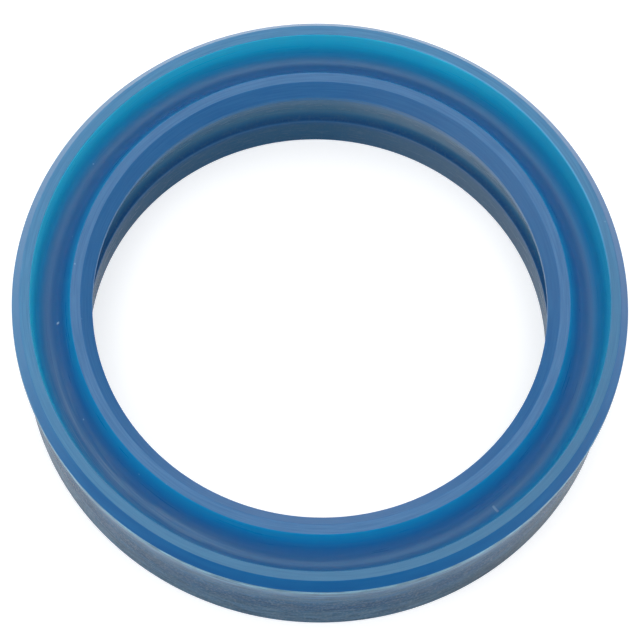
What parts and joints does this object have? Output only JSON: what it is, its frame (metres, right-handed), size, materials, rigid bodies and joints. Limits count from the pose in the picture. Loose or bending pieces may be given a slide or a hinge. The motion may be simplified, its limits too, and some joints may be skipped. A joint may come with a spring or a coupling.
{
  "type": "u-cup rod seal",
  "caption": "Moulded rod seal ring with an open U-groove between bevelled inner and outer lips, and a relief groove and secondary lip in the bore; seals a sliding rod in its gland.",
  "frame": {"origin": "centre of the heel face, on the bore axis", "axes": "+Z along the bore axis, from the heel towards the open lips"},
  "size_m": [0.046, 0.046, 0.01],
  "materials": {
    "seal": "satin"
  },
  "bodies": {
    "root": {"seal_ring": "seal"}
  },
  "joints": []
}
